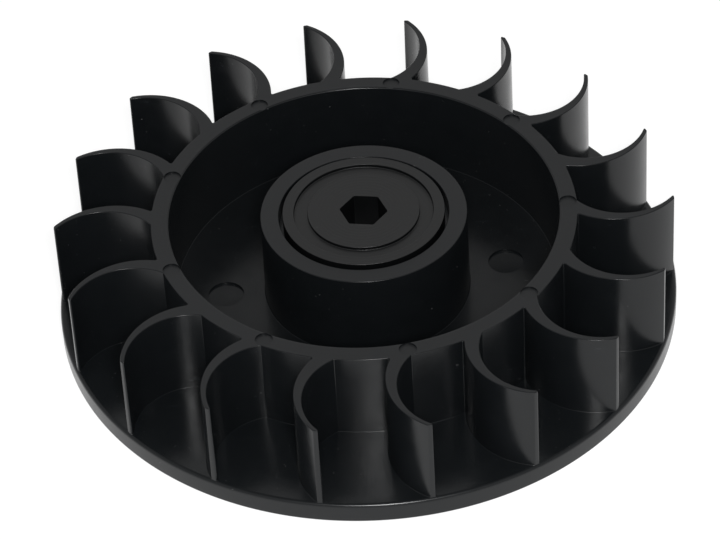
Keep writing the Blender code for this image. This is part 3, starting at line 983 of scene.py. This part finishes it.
def bearing_metal(name, finish):
    """Ground or pressed steel: fine rings round the axis where it was turned, and faint stains."""
    material, tree, shader = new_material(name)
    stain = noise(tree, METAL_STAINS)
    stained = tuple(c * METAL_STAIN_TINT for c in finish.colour)
    tint = mix_colour(tree, stain.outputs["Fac"], stained, finish.colour)
    tree.links.new(tint, shader.inputs["Base Color"])
    shader.inputs["Metallic"].default_value = 1.0
    gloss = remap(tree, stain.outputs["Fac"], UNEVEN_LOW, UNEVEN_HIGH, *finish.rough)
    tree.links.new(gloss, shader.inputs["Roughness"])
    if finish.turned:
        rings = turned_rings(tree, METAL_RINGS, METAL_RING_WANDER)
        height = rings.outputs["Fac"]
        add_bump(tree, shader, height, METAL_RING_STRENGTH, METAL_RING_RELIEF)
    return material


def paint_wheel(wheel):
    """Gloss on walls and the channel's floor, satin on the level tops, streaks between vanes."""
    gloss = black_plastic("wheel_gloss", WHEEL_GLOSS)
    satin = black_plastic("wheel_satin_tops", WHEEL_SATIN)
    pockets = black_plastic("wheel_pocket_floor", POCKET_FLOOR)
    tree = pockets.node_tree
    shader = tree.nodes["Principled BSDF"]
    streaks = radial_streaks(tree, STREAKS_PER_RADIAN, STREAKS_ALONG)
    add_bump(tree, shader, streaks.outputs["Fac"], STREAK_STRENGTH, STREAK_RELIEF)
    paint(wheel, gloss)
    wheel.data.materials.append(satin)
    wheel.data.materials.append(pockets)
    for polygon in wheel.data.polygons:
        centre = polygon.center
        if polygon.normal.z < LEVEL_FACE:
            continue
        if centre.z > WHEEL_TOP - TOP_REACH:
            polygon.material_index = SATIN_SLOT
        elif abs(centre.z - DISC_TOP) < FLOOR_REACH and centre.xy.length > RING_OUTER:
            polygon.material_index = POCKET_SLOT


def paint_cap(cap):
    """Satin face; the walls in the hexagonal hole and round the sides take a darker, duller copy of
    the same plastic as painted shade.
    """
    satin = black_plastic("cap_satin", CAP_SATIN)
    # Darker, duller copy of the cap's plastic on its walls: painted shade
    walls = black_plastic("cap_walls_painted_shade", CAP_WALLS_PAINTED_SHADE)
    tree = satin.node_tree
    shader = tree.nodes["Principled BSDF"]
    rings = turned_rings(tree, CAP_RINGS, CAP_RING_WANDER)
    add_bump(tree, shader, rings.outputs["Fac"], CAP_RING_STRENGTH, CAP_RING_RELIEF)
    paint(cap, satin)
    cap.data.materials.append(walls)
    for polygon in cap.data.polygons:
        polygon.material_index = 0 if polygon.normal.z > UPWARD_FACE else 1


def paint(obj, material):
    obj.data.materials.clear()
    obj.data.materials.append(material)


def stand_for(piece, body, node):
    """The piece moves with a body and takes a CAD node's place; the node is hidden."""
    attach(piece, body)
    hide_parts(node)


# ---------------------------------------------------------------- stage


def make_floor():
    """Pale table under the wheel, seen from above only, so that views from below stay open."""
    bm = bmesh.new()
    bmesh.ops.create_grid(bm, x_segments=1, y_segments=1, size=TABLE_SIZE)
    floor = from_bmesh("studio_floor", bm)
    floor.location.z = cad_low.z - TABLE_GAP
    material, tree, shader = new_material("floor_white")
    shader.inputs["Base Color"].default_value = TABLE_GREY
    shader.inputs["Roughness"].default_value = TABLE_ROUGHNESS
    shader.inputs["Emission Color"].default_value = WHITE
    shader.inputs["Emission Strength"].default_value = TABLE_GLOW
    clear = tree.nodes.new("ShaderNodeBsdfTransparent")
    side = tree.nodes.new("ShaderNodeNewGeometry")
    mix = tree.nodes.new("ShaderNodeMixShader")
    tree.links.new(side.outputs["Backfacing"], mix.inputs["Fac"])
    tree.links.new(shader.outputs["BSDF"], mix.inputs[1])
    tree.links.new(clear.outputs["BSDF"], mix.inputs[2])
    tree.links.new(mix.outputs["Shader"], tree.nodes["Material Output"].inputs["Surface"])
    paint(floor, material)


def make_world(horizon, overhead):
    """Plain studio surroundings, brighter near the horizon than overhead."""
    world = bpy.data.worlds.new("studio")
    world.use_nodes = True
    tree = world.node_tree
    background = tree.nodes["Background"]
    background.inputs["Color"].default_value = WHITE
    place = tree.nodes.new("ShaderNodeTexCoord")
    split = tree.nodes.new("ShaderNodeSeparateXYZ")
    tree.links.new(place.outputs["Generated"], split.inputs["Vector"])
    fade = remap(tree, split.outputs["Z"], WORLD_FADE_LOW, WORLD_FADE_HIGH, horizon, overhead)
    tree.links.new(fade, background.inputs["Strength"])
    bpy.context.scene.world = world


def area_light(name, place, aim, width, height, power):
    """Rectangular light at a place, turned to face a point."""
    light = bpy.data.lights.new(name, "AREA")
    light.shape = "RECTANGLE"
    light.size = width
    light.size_y = height
    light.energy = power
    obj = bpy.data.objects.new(name, light)
    bpy.context.scene.collection.objects.link(obj)
    obj.location = place
    obj.rotation_euler = (Vector(aim) - Vector(place)).to_track_quat("-Z", "Y").to_euler()


def make_camera():
    """Long-lens camera 41 degrees above the horizon, with a slight roll."""
    unit = WHEEL_RADIUS
    level = WHEEL_TOP
    back = CAMERA_DISTANCE * unit
    height = back * math.sin(CAMERA_ELEVATION)
    place = Vector((0.0, -back * math.cos(CAMERA_ELEVATION), level + height))
    target = Vector((CAMERA_TARGET[0] * unit, CAMERA_TARGET[1] * unit, level))
    forward = (target - place).normalized()
    right = forward.cross(Vector((0, 0, 1))).normalized()
    up = right.cross(forward)
    rolled_right = math.cos(CAMERA_ROLL) * right + math.sin(CAMERA_ROLL) * up
    rolled_up = -math.sin(CAMERA_ROLL) * right + math.cos(CAMERA_ROLL) * up
    data = bpy.data.cameras.new("camera")
    data.sensor_width = CAMERA_SENSOR
    data.lens = CAMERA_LENS
    data.clip_start = CAMERA_NEAR
    data.clip_end = CAMERA_FAR
    camera = bpy.data.objects.new("camera", data)
    bpy.context.scene.collection.objects.link(camera)
    columns = Matrix((rolled_right, rolled_up, -forward)).transposed()
    camera.matrix_world = Matrix.Translation(place) @ columns.to_4x4()
    bpy.context.scene.camera = camera
    return place


# ---------------------------------------------------------------- the scene


def build_stage():
    """Camera, table, surroundings and one soft light beside the camera."""
    camera_place = make_camera()
    make_floor()
    make_world(HORIZON_STRENGTH, OVERHEAD_STRENGTH)
    light_place = camera_place + SOFTBOX_OFFSET
    size = (SOFTBOX_WIDTH, SOFTBOX_HEIGHT)
    area_light("front_softbox", light_place, (0, 0, 0), *size, SOFTBOX_POWER)
    bpy.context.scene.view_settings.view_transform = "Standard"


def build_mouldings():
    """The two plastic pieces, which turn together."""
    wheel = make_wheel()
    paint_wheel(wheel)
    stand_for(wheel, "wheel", "turbine_wheel")

    cap = make_drive_cap()
    paint_cap(cap)
    stand_for(cap, "wheel", "drive_cap")


def build_bearing():
    """Races, shields, cage halves, balls and rivets, each on the body it moves with."""
    race_metal = bearing_metal("race_ground_steel", RACE_STEEL)
    ball_metal = bearing_metal("ball_polished_steel", BALL_STEEL)
    cage_metal = bearing_metal("cage_pressed_steel", CAGE_STEEL)
    shield_metal = bearing_metal("shield_pressed_steel", SHIELD_STEEL)

    outer = make_outer_race()
    paint(outer, race_metal)
    stand_for(outer, "wheel", "bearing_outer_race")
    inner = make_inner_race()
    paint(inner, race_metal)
    stand_for(inner, "axle_seat", "bearing_inner_race")
    for name, side in (("upper", 1), ("lower", -1)):
        shield = make_shield(f"shield_{name}_ring", side)
        paint(shield, shield_metal)
        stand_for(shield, "wheel", f"bearing_shield_{name}")
        cage = make_cage_half(f"cage_{name}_ribbon", side)
        paint(cage, cage_metal)
        stand_for(cage, "cage", f"cage_half_{name}")
    for index in range(BALL_COUNT):
        ball = make_ball(index)
        paint(ball, ball_metal)
        stand_for(ball, f"ball_{index + 1}", f"bearing_ball_{index + 1}")
        rivet = make_rivet(index)
        paint(rivet, cage_metal)
        stand_for(rivet, "cage", f"cage_rivet_{index + 1}")


build_stage()
build_mouldings()
build_bearing()
